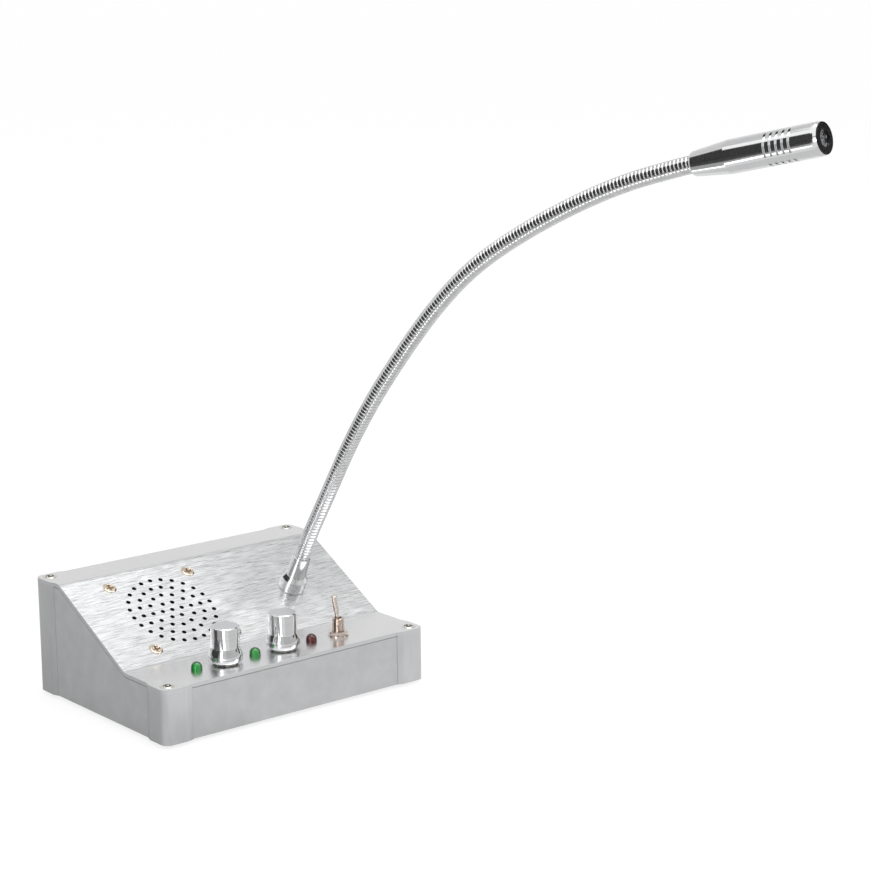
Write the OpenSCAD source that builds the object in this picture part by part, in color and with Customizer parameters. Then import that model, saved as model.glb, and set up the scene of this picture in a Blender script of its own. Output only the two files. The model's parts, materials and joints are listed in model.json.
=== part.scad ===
// Teller window intercom: a wedge-shaped aluminium desk case with a speaker, two volume knobs,
// a toggle switch, three indicator lamps and a microphone on a flexible neck.
// Millimetres. The origin is on the desk under the middle of the case, +Z is up, -Y is the front.

/* [Case] */
// Width of the case over its corner posts
case_w = 160; // [150:1:190]
// Height of the front edge above the underside of the case
front_h = 28; // [27:1:32]
// Height of the rear edge above the underside of the case
rear_h = 60; // [58:1:68]
// Depth of the level strip that carries the controls
front_land = 37.5; // [36:0.5:40]
// Depth of the level strip along the rear edge
rear_land = 21; // [20:0.5:24]
// Thickness of the bent top plate
plate_t = 2; // [1.8:0.1:2.2]
// Radius inside both bends of the top plate
bend_r = 6; // [4:0.5:8]
// Open seam between the top plate and the panels under it
seam = 0.3; // [0.2:0.05:0.4]
// Thickness of the base plate
base_t = 1.6; // [1.6:0.1:2]
// Height of a rubber foot
foot_h = 2; // [1.5:0.1:3]
// Diameter of a rubber foot
foot_d = 12; // [10:0.5:14]
// Distance from a side of the case to the middle of a foot
foot_inset = 24; // [22:1:30]

/* [Corner posts] */
// Radius of the outer corner
post_r = 4; // [3:0.25:5]
// Width of a post's flat outer face
post_face = 13.8; // [13:0.2:16]
// Width of the sloping shoulder beside that face
shoulder_w = 3; // [2.4:0.1:3.4]
// Height of a post's outer face above the panels
post_proud = 1.3; // [1.1:0.1:1.6]
// Thickness of the lip where the shoulder ends
lip_tip = 0.3; // [0.2:0.05:0.4]
// Thickness of the four panels
panel_t = 1.5; // [1.2:0.1:1.8]
// Depth of the slot that holds a panel's edge
slot_depth = 6; // [4:0.5:7]
// Thickness of the inner lip of a slot
inner_lip = 1.5; // [1:0.1:2]
// Distance from both outer faces to the middle of a post's screw
screw_inset = 5.7; // [5.3:0.1:6.2]
// Diameter of the round boss that holds the screw
boss_d = 7.4; // [6.8:0.1:8]

/* [Screws] */
// Diameter of every machine screw's shank
screw_d = 3.5; // [3.3:0.1:3.7]
// Diameter of a countersunk head
head_d = 7; // [6.8:0.1:7.4]
// Height of a countersunk head
head_h = 1.6; // [1.4:0.1:1.6]
// Length of a case screw
case_screw_l = 10; // [8:1:14]
// Length of a speaker screw
speaker_screw_l = 8; // [7:0.5:10]
// Width of the cross recess in a head
cross_w = 1; // [0.8:0.1:1.2]
// Length of the cross recess in a head
cross_l = 4.1; // [3.8:0.1:4.4]
// Depth of the cross recess in a head
cross_deep = 1; // [0.8:0.1:1.1]

/* [Speaker] */
// Place of the speaker across the case
speaker_x = -30.4; // [-34:0.2:-28]
// Room on the slope between the front bend and the speaker's flange
speaker_room_front = 6; // [5:0.1:8]
// Room on the slope between the speaker's flange and the rear bend
speaker_room_rear = 4.56; // [4.5:0.02:8]
// Distance between two neighbouring speaker screws
speaker_pitch = 47.4; // [46.8:0.1:48]
// Side of the speaker's square flange
speaker_w = 57; // [56:0.5:58]
// Thickness of the flange
flange_t = 1; // [0.8:0.1:1.4]
// Depth of the speaker's basket behind the flange
basket_h = 11; // [10:0.5:12]
// Wall of the basket
basket_t = 1.2; // [1:0.1:1.5]
// Diameter of the basket at its flange
basket_d = 51; // [50:0.5:52]
// Diameter of the basket's back plate
basket_back_d = 30; // [28:0.5:31]
// Diameter of the magnet
magnet_d = 32; // [28:0.5:34]
// Height of the magnet
magnet_h = 6; // [5:0.5:7]
// Distance between two rings of holes in the grille
ring_pitch = 5.7; // [5.4:0.1:5.9]
// Number of rings of holes round the middle hole
ring_count = 4; // [3:1:4]
// Diameter of a hole in the grille
hole_d = 2.4; // [2:0.1:2.8]
// Thickness of the cloth behind the grille
cloth_t = 0.4; // [0.3:0.1:0.6]

/* [Controls] */
// Distance between two neighbouring controls
control_pitch = 35; // [34:0.5:36]
// Place of the middle control across the case
control_x = 3.3; // [2:0.1:5]
// Distance of the row of controls behind the front edge
control_inset = 18.2; // [17.6:0.1:18.8]
// Distance of a lamp to the left of its control
lamp_offset = 17.2; // [15.5:0.1:17.6]
// Diameter of a lamp's lens
lamp_d = 5.6; // [5:0.1:6]
// Height of a lamp's lens above the plate
lamp_h = 4.1; // [3.6:0.1:4.6]
// Height of a knob
knob_h = 18; // [16:0.5:20]
// Diameter of a knob's grip
knob_d = 14.4; // [13:0.1:15]
// Diameter of a knob's skirt
skirt_d = 17; // [15.8:0.1:17.6]
// Height of the knob's skirt
skirt_h = 2.6; // [2.4:0.1:3.2]
// Height at which the skirt has drawn in to the grip
flare_h = 7.3; // [6.5:0.1:8]
// Gap between a knob and the plate
knob_gap = 1; // [0.8:0.1:1.4]
// Diameter of a volume control's shaft
shaft_d = 6; // [5.8:0.1:6.2]
// Diameter of a volume control's bushing
pot_bush_d = 7; // [6.8:0.1:7.4]
// Height of a volume control's bushing above the plate
pot_bush_h = 4.5; // [4:0.1:5]
// Diameter of a volume control's body
pot_d = 16; // [15:0.5:17]
// Height of a volume control's body
pot_h = 8; // [7:0.5:9]

/* [Toggle switch] */
// Diameter of the switch's bushing
bush_d = 6.4; // [6:0.1:6.6]
// Height of the bushing above the plate
bush_h = 9.2; // [8.8:0.1:9.8]
// Width of the hexagon nut across its flats
nut_af = 9; // [8.6:0.1:9.4]
// Thickness of the hexagon nut
nut_t = 1.9; // [1.6:0.1:2.4]
// Diameter of the lever near its tip
lever_d = 3.1; // [2.8:0.1:3.4]
// Diameter of the lever where it leaves the bushing
lever_neck_d = 2.4; // [2.2:0.1:2.6]
// Length of the lever above the bushing
lever_l = 12.4; // [11:0.2:13.4]
// Lean of the lever to each side of upright, in degrees
lever_lean = 10; // [8:1:12]
// Width of the switch's case
switch_w = 13; // [12:0.5:14]
// Depth of the switch's case, front to rear
switch_d = 8; // [7.5:0.5:9]
// Height of the switch's case
switch_h = 9.5; // [9:0.5:10]

/* [Neck] */
// Place of the neck across the case
neck_x = 42.5; // [40:0.5:46]
// Distance of the neck's foot up the slope from the front bend
neck_s = 31.5; // [28:0.5:34]
// Diameter of the collar on the plate
collar_d = 13.8; // [13:0.1:15]
// Height of the collar's straight side
collar_h = 7; // [6:0.25:8]
// Height of the cone on top of the collar
collar_cone_h = 2.3; // [2:0.1:2.8]
// Diameter of the ferrule at its lower end
ferrule_d = 10.8; // [10.4:0.1:11.4]
// Diameter of the ferrule at its upper end
ferrule_top_d = 9.2; // [9:0.1:9.8]
// Length of the ferrule
ferrule_l = 12.4; // [11:0.2:14]
// Outer diameter of the wound neck
neck_d = 8.1; // [7.8:0.1:8.3]
// Bore of the wound neck
neck_bore = 4; // [3.4:0.1:4.4]
// Depth of the grooves between the neck's turns
groove = 0.45; // [0.35:0.05:0.55]
// Length of the stretch of neck that is fixed in the ferrule and shows above it
neck_stub = 12; // [10:0.5:14]
// Length of each bending stretch of the neck
neck_step = 32.9; // [32:0.1:34]
// Number of turns on each bending stretch
turn_count = 15; // [14:1:16]
// Running gap between two stretches of the neck
neck_gap = 0.3; // [0.25:0.05:0.35]
// Turn of the neck's plane to the right of straight ahead, in degrees
neck_yaw = 18; // [10:1:26]
// Lean of the microphone from the slope's normal, in degrees
neck_end_lean = 49.8; // [30:0.1:60]
// Share of that lean that the neck has at even distances along it
neck_lean_shares = [0.096, 0.074, 0.229, 0.305, 0.639, 0.767, 1];

/* [Microphone] */
// Diameter of the microphone's shell
mic_d = 15; // [14.4:0.1:15.6]
// Length of the shell
mic_l = 45.7; // [44:0.1:47]
// Wall of the shell
mic_wall = 0.9; // [0.8:0.05:1]
// Length of the tapered tail
tail_l = 19; // [18:0.2:20]
// Diameter of the tail where the neck enters
tail_d = 11.2; // [10.9:0.1:11.6]
// Number of slots in a row along the shell
slot_count = 5; // [4:1:5]
// Distance between two slots of a row
slot_pitch = 3.05; // [2.9:0.05:3.3]
// Width of a slot
slot_w = 1.2; // [1:0.1:1.4]
// Distance from the shell's front to the first slot
slot_start = 12.6; // [11.6:0.2:13.6]
// Opening of each slot round the shell, in degrees
slot_arc = 94; // [88:1:104]
// Length of the bright bevel round the front
mic_bevel = 1.4; // [1.1:0.1:1.7]
// Diameter of the opening in the front cap
mouth_d = 8; // [7.4:0.1:8.6]

/* [Hidden] */

// Fits shared by several pieces
over = 1;
fit = 0.05;
slide_fit = 0.1;
end_gap = 0.3;
round_fn = 48;

// The slope is long enough for the speaker, and the depth of the case follows from it
slope_l = speaker_room_front + speaker_w + speaker_room_rear;
speaker_s = speaker_room_front + speaker_w/2;
case_d = front_land + sqrt(slope_l*slope_l - (rear_h - front_h)*(rear_h - front_h)) + rear_land;

// Levels above the desk
case_z = foot_h;
front_under = case_z + front_h - plate_t;
front_top = case_z + front_h;
rear_under = case_z + rear_h - plate_t;
floor_top = case_z + base_t;

// Posts and panels
post_lap = post_face + shoulder_w;
arm_t = post_proud + panel_t + inner_lip;
panel_end = post_lap - slot_depth + end_gap;
base_edge = post_proud + panel_t + slide_fit;
screw_x = case_w/2 - screw_inset;
screw_y = case_d/2 - screw_inset;

// Bends of the top plate, as points in the plane of +Y and +Z
bend_front = [-case_d/2 + front_land, front_under];
bend_rear = [case_d/2 - rear_land, rear_under];
slope_run = bend_rear - bend_front;
slope_a = atan2(slope_run.y, slope_run.x);
up_slope = [cos(slope_a), sin(slope_a)];
front_tan = (bend_r + plate_t)*tan(slope_a/2);
rear_tan = bend_r*tan(slope_a/2);
front_mid = bend_front + [-front_tan, bend_r + plate_t];
rear_mid = bend_rear + [rear_tan, -bend_r];

// Points along an arc from one angle to another
arc_steps = 12;
function arc_points(mid, r, from, to) =
    [for (i = [0:arc_steps]) let (a = from + (to - from)*i/arc_steps) mid + r*[cos(a), sin(a)]];

// The underside of the top plate through its two bends, from front to rear
function under_line() = concat(
    arc_points(front_mid, bend_r + plate_t, -90, slope_a - 90),
    arc_points(rear_mid, bend_r, 90 + slope_a, 90)
);

// Controls
control_y = -case_d/2 + control_inset;
left_x = control_x - control_pitch;
right_x = control_x + control_pitch;

// Nut and lever sizes
small_nut_af = 6;
small_nut_t = 2.8;
pot_nut_af = 10;
pot_nut_t = 1.6;

// Circuit board
board_w = 116;
board_d = 84;
board_t = 1.6;
board_y = 4;
board_hole_inset = 6;
spacer_h = 4;
spacer_d = 6;
board_z = floor_top + spacer_h;
board_top = board_z + board_t;

// Neck
ball_r = neck_d/2;
dish_r = ball_r + neck_gap;
rim_a = 27;
rim_z = ball_r*tan(rim_a);
step_count = 10;
tip_l = 10;
tip_out = 4;
collar_top = collar_h + collar_cone_h;
ferrule_top = collar_top + ferrule_l;
stub_seat = 9;

// Lean of the neck at a share of its length, read off the list by straight lines
function lean_at(share) =
    let (
        last = len(neck_lean_shares) - 1,
        place = share*last,
        low = min(floor(place), last - 1),
        step = neck_lean_shares[low + 1] - neck_lean_shares[low]
    )
    neck_end_lean*(neck_lean_shares[low] + (place - low)*step);

// Lean of bending stretch i, counted from 1
function step_lean(i) = lean_at((i - 0.5)/step_count);

// Place of joint i in the neck's plane: joint 0 is on top of the fixed stretch
function joint_at(i) = i == 0
    ? [0, neck_stub]
    : joint_at(i - 1) + neck_step*[sin(step_lean(i)), cos(step_lean(i))];

// Places a child on the upper face of the slope: x across, s up the slope, h above it
module on_slope(x, s, h = 0) {
    translate([x, bend_front.x, bend_front.y]) rotate([slope_a, 0, 0]) translate([0, s, plate_t + h])
        children();
}

// Places a child on the level front strip
module on_front(x) {
    translate([x, control_y, front_top]) children();
}

// Places a corner's child: its arms run along +X and +Y from the origin
module at_corner(side, end) {
    translate([side*case_w/2, end*case_d/2, case_z])
        mirror([side > 0 ? 1 : 0, 0, 0]) mirror([0, end > 0 ? 1 : 0, 0]) children();
}

// Places a child in the neck's plane, with the neck leaning towards +X
module in_neck_plane() {
    on_slope(neck_x, neck_s, ferrule_top) rotate([0, 0, neck_yaw - 90]) children();
}

// Places a child on joint i with its +Z along the given lean
module at_joint(i, lean) {
    in_neck_plane() translate([joint_at(i).x, 0, joint_at(i).y]) rotate([0, lean, 0]) children();
}

// Places a child on the microphone's axis, a distance out from the tail's rear
module on_mic(out) {
    at_joint(step_count, neck_end_lean) translate([0, 0, tip_out + out]) children();
}

// A hexagon prism by its width across the flats
module hexagon(af, h) {
    cylinder(d = af/cos(30), h = h, $fn = 6);
}

// Solid of a countersunk head and shank with its top at zero, grown on all sides by a clearance
module countersunk_solid(l, grow) {
    union() {
        translate([0, 0, -head_h])
            cylinder(d1 = screw_d + 2*grow, d2 = head_d + 2*grow, h = head_h, $fn = round_fn);
        translate([0, 0, -l]) cylinder(d = screw_d + 2*grow, h = l, $fn = round_fn);
    }
}

// A countersunk screw with a cross recess
module countersunk_screw(l) {
    difference() {
        countersunk_solid(l, 0);
        for (turn = [0, 90])
            rotate([0, 0, turn]) translate([-cross_l/2, -cross_w/2, -cross_deep])
                cube([cross_l, cross_w, cross_deep + over]);
    }
}

// Hole for a countersunk screw through a plate
module countersunk_hole(depth) {
    countersunk_solid(depth + over, slide_fit);
    cylinder(d = head_d + 2*slide_fit, h = over, $fn = round_fn);
}

// A post's outer skin from one arm to the other: lip, sloping shoulder, face and rounded corner
function skin_line() = let (drop = post_proud - lip_tip) concat(
    [[post_proud, post_lap], [drop, post_lap], [0, post_face]],
    arc_points([post_r, post_r], post_r, 180, 270),
    [[post_face, 0], [post_lap, drop], [post_lap, post_proud]]
);

// Plan of a post inside that skin
module post_outline() {
    polygon(concat(
        skin_line(),
        [[post_lap, arm_t], [post_face, arm_t], [post_face, post_face], [arm_t, post_face], [arm_t, post_lap]]
    ));
}

// Section of an extruded corner post: two slotted arms and a screw boss
module post_section() {
    difference() {
        union() {
            intersection() {
                post_outline();
                union() {
                    square([post_face + shoulder_w, post_proud]);
                    square([post_proud, post_face + shoulder_w]);
                    square([post_face, arm_t]);
                    square([arm_t, post_face]);
                }
            }
            translate([screw_inset, screw_inset]) circle(d = boss_d, $fn = round_fn);
        }
        for (arm = [0, 1])
            mirror([arm, -arm]) translate([post_lap - slot_depth, post_proud])
                square([slot_depth + over, panel_t + slide_fit]);
        translate([screw_inset, screw_inset]) circle(d = screw_d + 2*fit, $fn = round_fn);
    }
}

// A corner post, cut back inside its skin for the flush base plate and the head of its screw
module post(h) {
    difference() {
        linear_extrude(h) post_section();
        translate([base_edge - slide_fit, base_edge - slide_fit, -over])
            cube([post_lap, post_lap, base_t + over]);
        translate([screw_inset, screw_inset, 0]) union() {
            cylinder(d1 = head_d + 2*slide_fit, d2 = screw_d, h = base_t, $fn = round_fn);
            mirror([0, 0, 1]) cylinder(d = head_d + 2*slide_fit, h = over, $fn = round_fn);
        }
    }
}

module post_front_left() {
    color("#9a9b9d") at_corner(-1, -1) post(front_h - plate_t);
}

module post_front_right() {
    color("#9a9b9d") at_corner(1, -1) post(front_h - plate_t);
}

module post_rear_left() {
    color("#9a9b9d") at_corner(-1, 1) post(rear_h - plate_t);
}

module post_rear_right() {
    color("#9a9b9d") at_corner(1, 1) post(rear_h - plate_t);
}

module panel_front() {
    color("#a5a6a8") translate([-case_w/2 + panel_end, -case_d/2 + post_proud, case_z])
        cube([case_w - 2*panel_end, panel_t, front_h - plate_t - seam]);
}

// Places of the two sockets on the rear panel
socket_inset = 36;
socket_x = case_w/2 - socket_inset;
socket_pitch = 24;
socket_z = case_z + 22;
power_bush_d = 8;
line_bush_d = 6;

module panel_rear() {
    color("#a5a6a8") difference() {
        translate([-case_w/2 + panel_end, case_d/2 - post_proud - panel_t, case_z])
            cube([case_w - 2*panel_end, panel_t, rear_h - plate_t - seam]);
        on_rear(socket_x) translate([0, 0, -panel_t - over])
            cylinder(d = power_bush_d + 2*slide_fit, h = panel_t + 2*over, $fn = round_fn);
        on_rear(socket_x - socket_pitch) translate([0, 0, -panel_t - over])
            cylinder(d = line_bush_d + 2*slide_fit, h = panel_t + 2*over, $fn = round_fn);
    }
}

// Places a child on the rear panel's outer face with its +Z out of the case
module on_rear(x) {
    translate([x, case_d/2 - post_proud, socket_z]) rotate([-90, 0, 0]) children();
}

// Outline of a side panel in the plane of +Y and +Z, a seam below the bent plate
module side_outline() {
    half = case_d/2 - panel_end;
    polygon(concat(
        [[half, case_z], [-half, case_z], [-half, front_under - seam]],
        [for (point = under_line()) point - [0, seam]],
        [[half, rear_under - seam]]
    ));
}

module side_panel() {
    rotate([90, 0, 90]) linear_extrude(panel_t) side_outline();
}

module panel_left() {
    color("#98999b") translate([-case_w/2 + post_proud, 0, 0]) side_panel();
}

module panel_right() {
    color("#98999b") translate([case_w/2 - post_proud - panel_t, 0, 0]) side_panel();
}

module base_plate() {
    color("#85878a") difference() {
        translate([-case_w/2 + base_edge, -case_d/2 + base_edge, case_z])
            cube([case_w - 2*base_edge, case_d - 2*base_edge, base_t]);
        for (side = [-1, 1], end = [-1, 1])
            translate([side*screw_x, end*screw_y, case_z]) mirror([0, 0, 1])
                countersunk_hole(base_t + head_h);
    }
}

module base_screws() {
    color("#c3bfb2") for (side = [-1, 1], end = [-1, 1])
        translate([side*screw_x, end*screw_y, case_z]) mirror([0, 0, 1]) countersunk_screw(case_screw_l);
}

module rubber_feet() {
    lift = foot_h/4;
    color("#1d1d1e") for (side = [-1, 1], end = [-1, 1])
        translate([side*(case_w/2 - foot_inset), end*(case_d/2 - foot_inset), 0]) union() {
            cylinder(d1 = foot_d - 2*lift, d2 = foot_d, h = lift, $fn = round_fn);
            translate([0, 0, lift]) cylinder(d = foot_d, h = foot_h - lift, $fn = round_fn);
        }
}

// Side view of the bent top plate
module plate_profile() {
    polygon(concat(
        [[-case_d/2, front_under]],
        under_line(),
        [[case_d/2, rear_under], [case_d/2, rear_under + plate_t]],
        arc_points(rear_mid, bend_r + plate_t, 90, 90 + slope_a),
        arc_points(front_mid, bend_r, slope_a - 90, -90),
        [[-case_d/2, front_under + plate_t]]
    ));
}

// Plan of the top plate: it follows the panels and swells over the posts
module plate_plan() {
    line = skin_line();
    last = len(line) - 1;
    polygon([for (corner = [[-1, -1], [1, -1], [1, 1], [-1, 1]], i = [0:last])
        let (p = line[corner.x*corner.y > 0 ? i : last - i])
            [corner.x*(case_w/2 - p.x), corner.y*(case_d/2 - p.y)]]);
}

// Centres of the grille's holes: one in the middle and six more on each ring than on the last
function grille_holes() = concat(
    [[0, 0]],
    [for (ring = [1:ring_count], i = [0:6*ring - 1]) ring*ring_pitch*[cos(60*i/ring), sin(60*i/ring)]]
);

module top_plate() {
    color("#c9cacb") difference() {
        intersection() {
            rotate([90, 0, 90]) translate([0, 0, -case_w/2]) linear_extrude(case_w) plate_profile();
            translate([0, 0, front_under - over]) linear_extrude(rear_h + over) plate_plan();
        }
        for (side = [-1, 1]) {
            translate([side*screw_x, -screw_y, front_top]) countersunk_hole(plate_t);
            translate([side*screw_x, screw_y, case_z + rear_h]) countersunk_hole(plate_t);
        }
        on_slope(speaker_x, speaker_s) {
            for (place = grille_holes())
                translate([place.x, place.y, -plate_t - over])
                    cylinder(d = hole_d, h = plate_t + 2*over, $fn = round_fn);
            for (side = [-1, 1], end = [-1, 1])
                translate([side*speaker_pitch/2, end*speaker_pitch/2, 0]) countersunk_hole(plate_t);
        }
        on_slope(neck_x, neck_s) translate([0, 0, -plate_t - over])
            cylinder(d = stem_d + 2*slide_fit, h = plate_t + 2*over, $fn = round_fn);
        for (x = [left_x, control_x])
            on_front(x) plate_hole(pot_bush_d + 2*slide_fit);
        on_front(right_x) plate_hole(bush_d + 2*slide_fit);
        for (x = [left_x, control_x, right_x])
            on_front(x - lamp_offset) plate_hole(lamp_d + 2*slide_fit);
    }
}

// A round hole through the plate under a place on the front strip
module plate_hole(d) {
    translate([0, 0, -plate_t - over]) cylinder(d = d, h = plate_t + 2*over, $fn = round_fn);
}

module top_screws() {
    color("#c3bfb2") for (side = [-1, 1]) {
        translate([side*screw_x, -screw_y, front_top]) countersunk_screw(case_screw_l);
        translate([side*screw_x, screw_y, case_z + rear_h]) countersunk_screw(case_screw_l);
    }
}

// A square with round corners
module round_square(w, r) {
    square([w, w - 2*r], center = true);
    square([w - 2*r, w], center = true);
    for (side = [-1, 1], end = [-1, 1])
        translate([side*(w/2 - r), end*(w/2 - r)]) circle(r = r, $fn = round_fn);
}

// Places a child at each speaker screw in the frame of the slope
module at_speaker_screws() {
    for (side = [-1, 1], end = [-1, 1])
        translate([side*speaker_pitch/2, end*speaker_pitch/2, 0]) children();
}

flange_r = 4;
cone_rim_d = basket_d - 2*basket_t - 2*fit;
cone_t = 0.8;
cone_low = basket_h - basket_t - 2;
cap_d = 16;

module grille_cloth() {
    color("#141415") on_slope(speaker_x, speaker_s, -plate_t - cloth_t) difference() {
        linear_extrude(cloth_t) round_square(speaker_w, flange_r);
        at_speaker_screws() translate([0, 0, -over])
            cylinder(d = screw_d + 2*slide_fit, h = cloth_t + 2*over, $fn = round_fn);
    }
}

module speaker_basket() {
    window_count = 4;
    window_w = basket_back_d/2;
    color("#5c5e60") on_slope(speaker_x, speaker_s, -plate_t - cloth_t) difference() {
        union() {
            translate([0, 0, -flange_t]) linear_extrude(flange_t) round_square(speaker_w, flange_r);
            translate([0, 0, -basket_h])
                cylinder(d1 = basket_back_d, d2 = basket_d, h = basket_h - flange_t, $fn = round_fn);
        }
        translate([0, 0, -basket_h + basket_t])
            cylinder(d1 = basket_back_d - 2*basket_t, d2 = basket_d - 2*basket_t,
                h = basket_h - basket_t - flange_t, $fn = round_fn);
        translate([0, 0, -flange_t])
            cylinder(d = basket_d - 2*basket_t, h = flange_t + over, $fn = round_fn);
        translate([0, 0, -basket_h - over]) cylinder(d = cap_d, h = basket_h, $fn = round_fn);
        at_speaker_screws() translate([0, 0, -flange_t - over])
            cylinder(d = screw_d + 2*slide_fit, h = flange_t + 2*over, $fn = round_fn);
        for (i = [0:window_count - 1])
            rotate([0, 0, i*360/window_count])
                translate([basket_back_d/2, -window_w/2, -basket_h + basket_t])
                    cube([basket_d, window_w, basket_h - 2*basket_t - flange_t]);
    }
}

module speaker_magnet() {
    pole_d = cap_d - 2;
    gap_h = basket_h - cone_low;
    color("#3a3b3d") on_slope(speaker_x, speaker_s, -plate_t - cloth_t - basket_h) union() {
        translate([0, 0, -magnet_h]) cylinder(d = magnet_d, h = magnet_h, $fn = round_fn);
        cylinder(d = pole_d, h = basket_t, $fn = round_fn);
    }
}

module speaker_cone() {
    color("#1b1b1c") on_slope(speaker_x, speaker_s, -plate_t - cloth_t) rotate_extrude($fn = 96)
        polygon([
            [0, -cone_low], [cap_d/2, -cone_low - cone_t], [cone_rim_d/2 - cone_t, -flange_t],
            [cone_rim_d/2, -flange_t], [cone_rim_d/2, 0], [cone_rim_d/2 - 2*cone_t, 0],
            [cap_d/2, -cone_low], [cap_d/4, -cone_low + 2*cone_t], [0, -cone_low + 3*cone_t]
        ]);
}

module speaker_screws() {
    color("#cbb98f") on_slope(speaker_x, speaker_s) at_speaker_screws() countersunk_screw(speaker_screw_l);
}

module speaker_nuts() {
    color("#c3bfb2") on_slope(speaker_x, speaker_s, -plate_t - cloth_t - flange_t - small_nut_t)
        at_speaker_screws() difference() {
            hexagon(small_nut_af, small_nut_t);
            translate([0, 0, -over])
                cylinder(d = screw_d + 2*fit, h = small_nut_t + 2*over, $fn = round_fn);
        }
}

// Places a child at each corner hole of the circuit board
module at_board_holes() {
    for (side = [-1, 1], end = [-1, 1])
        translate([side*(board_w/2 - board_hole_inset), board_y + end*(board_d/2 - board_hole_inset), 0])
            children();
}

module circuit_board() {
    color("#2d6b45") difference() {
        translate([-board_w/2, board_y - board_d/2, board_z]) cube([board_w, board_d, board_t]);
        at_board_holes() translate([0, 0, board_z - over])
            cylinder(d = spacer_d/2 + 2*slide_fit, h = board_t + 2*over, $fn = round_fn);
    }
}

module board_spacers() {
    color("#e4e2da") at_board_holes() translate([0, 0, floor_top]) union() {
        cylinder(d = spacer_d, h = spacer_h, $fn = round_fn);
        cylinder(d = spacer_d/2, h = spacer_h + board_t, $fn = round_fn);
        translate([0, 0, spacer_h + board_t])
            cylinder(d1 = 2*spacer_d/3, d2 = spacer_d/2, h = board_t/2, $fn = round_fn);
    }
}

// Sizes and places of the larger parts on the circuit board
capacitor_d = 8;
capacitor_h = 11;
capacitor_pitch = 12;
chip_l = 18;
chip_w = 7;
chip_t = 3;
header_l = 14;
header_w = 5;
header_t = 6;
heat_sink_h = 15;

module board_parts() {
    color("#26282c") {
        for (i = [0:2])
            translate([board_w/4 + i*capacitor_pitch - capacitor_pitch/2, board_y + board_d/4, board_top])
                cylinder(d = capacitor_d, h = capacitor_h, $fn = round_fn);
        for (i = [0:1])
            translate([-board_w/4 + i*(chip_l + chip_w), board_y - board_d/8, board_top])
                cube([chip_l, chip_w, chip_t]);
        for (i = [0:2])
            translate([-board_w/2 + 2*board_hole_inset + i*(header_l + header_w),
                board_y + board_d/2 - 2*header_w, board_top]) cube([header_l, header_w, header_t]);
        translate([board_w/4, board_y - board_d/4, board_top]) cube([chip_l, chip_t, heat_sink_h]);
    }
}

pot_leg_l = 4;
pot_leg_w = 1;
pot_leg_pitch = 5;

// Body and bushing of a volume control, hung under the plate
module volume_pot(x) {
    color("#6f7275") on_front(x) difference() {
        union() {
            translate([0, 0, -plate_t - pot_h]) cylinder(d = pot_d, h = pot_h, $fn = round_fn);
            translate([0, 0, -plate_t - pot_h])
                cylinder(d = pot_bush_d, h = pot_h + plate_t + pot_bush_h, $fn = round_fn);
            for (i = [-1:1])
                translate([i*pot_leg_pitch - pot_leg_w/2, pot_d/4, -plate_t - pot_h - pot_leg_l])
                    cube([pot_leg_w, pot_leg_w/2, pot_leg_l + over]);
        }
        translate([0, 0, -plate_t - pot_h/2])
            cylinder(d = shaft_d + 2*fit, h = pot_h + plate_t + pot_bush_h, $fn = round_fn);
    }
}

module volume_pot_left() {
    volume_pot(left_x);
}

module volume_pot_right() {
    volume_pot(control_x);
}

module pot_nuts() {
    color("#b9b7b0") for (x = [left_x, control_x])
        on_front(x) difference() {
            hexagon(pot_nut_af, pot_nut_t);
            translate([0, 0, -over])
                cylinder(d = pot_bush_d + 2*fit, h = pot_nut_t + 2*over, $fn = round_fn);
        }
}

knob_roof = 3;
nut_room = 0.4;
knob_cavity_r = pot_nut_af/cos(30)/2 + nut_room;
knob_cavity_h = pot_bush_h + nut_room;
knob_seat_h = knob_h - knob_roof;
grub_d = 2.5;
grub_z = 11.2;
hex_key = 1.3;

// The turning shaft of a volume control
module pot_shaft(x) {
    color("#d0d1d2") on_front(x) translate([0, 0, -plate_t - pot_h/2 + fit])
        cylinder(d = shaft_d, h = pot_h/2 - fit + plate_t + knob_gap + knob_seat_h - fit, $fn = round_fn);
}

module pot_shaft_left() {
    pot_shaft(left_x);
}

module pot_shaft_right() {
    pot_shaft(control_x);
}

// A turned knob: grip, flared skirt, and a stepped bore that clears the nut and takes the shaft
module knob(x) {
    top_bevel = 0.4;
    edge = 0.5;
    flare = (skirt_d - knob_d)/2;
    rise = flare_h - skirt_h;
    flare_shares = [[1, 0], [0.97, 0.18], [0.83, 0.4], [0.58, 0.62], [0.28, 0.82], [0, 1]];
    bore_r = shaft_d/2 + fit;
    color("#d6d7d9") on_front(x) translate([0, 0, knob_gap]) difference() {
        rotate_extrude($fn = 96) polygon(concat(
            [[0, knob_seat_h], [bore_r, knob_seat_h], [bore_r, knob_cavity_h]],
            [[knob_cavity_r, knob_cavity_h], [knob_cavity_r, 0]],
            [[skirt_d/2 - edge, 0], [skirt_d/2, edge]],
            [for (share = flare_shares) [knob_d/2 + share[0]*flare, skirt_h + share[1]*rise]],
            [[knob_d/2, knob_h - top_bevel], [knob_d/2 - top_bevel, knob_h], [0, knob_h]]
        ));
        translate([0, 0, grub_z]) rotate([-90, 0, 0]) cylinder(d = grub_d + 2*fit, h = knob_d, $fn = 24);
    }
}

module knob_left() {
    knob(left_x);
}

module knob_right() {
    knob(control_x);
}

// The set screw that holds a knob on its shaft, on the side away from the user
module grub_screw(x) {
    start = shaft_d/2 + fit;
    color("#3c3d40") on_front(x) translate([0, start, knob_gap + grub_z]) rotate([-90, 0, 0]) difference() {
        cylinder(d = grub_d, h = knob_d/2 - start - 2*end_gap, $fn = 24);
        translate([0, 0, knob_d/4 - start/2]) hexagon(hex_key, knob_d);
    }
}

module grub_screw_left() {
    grub_screw(left_x);
}

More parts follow.
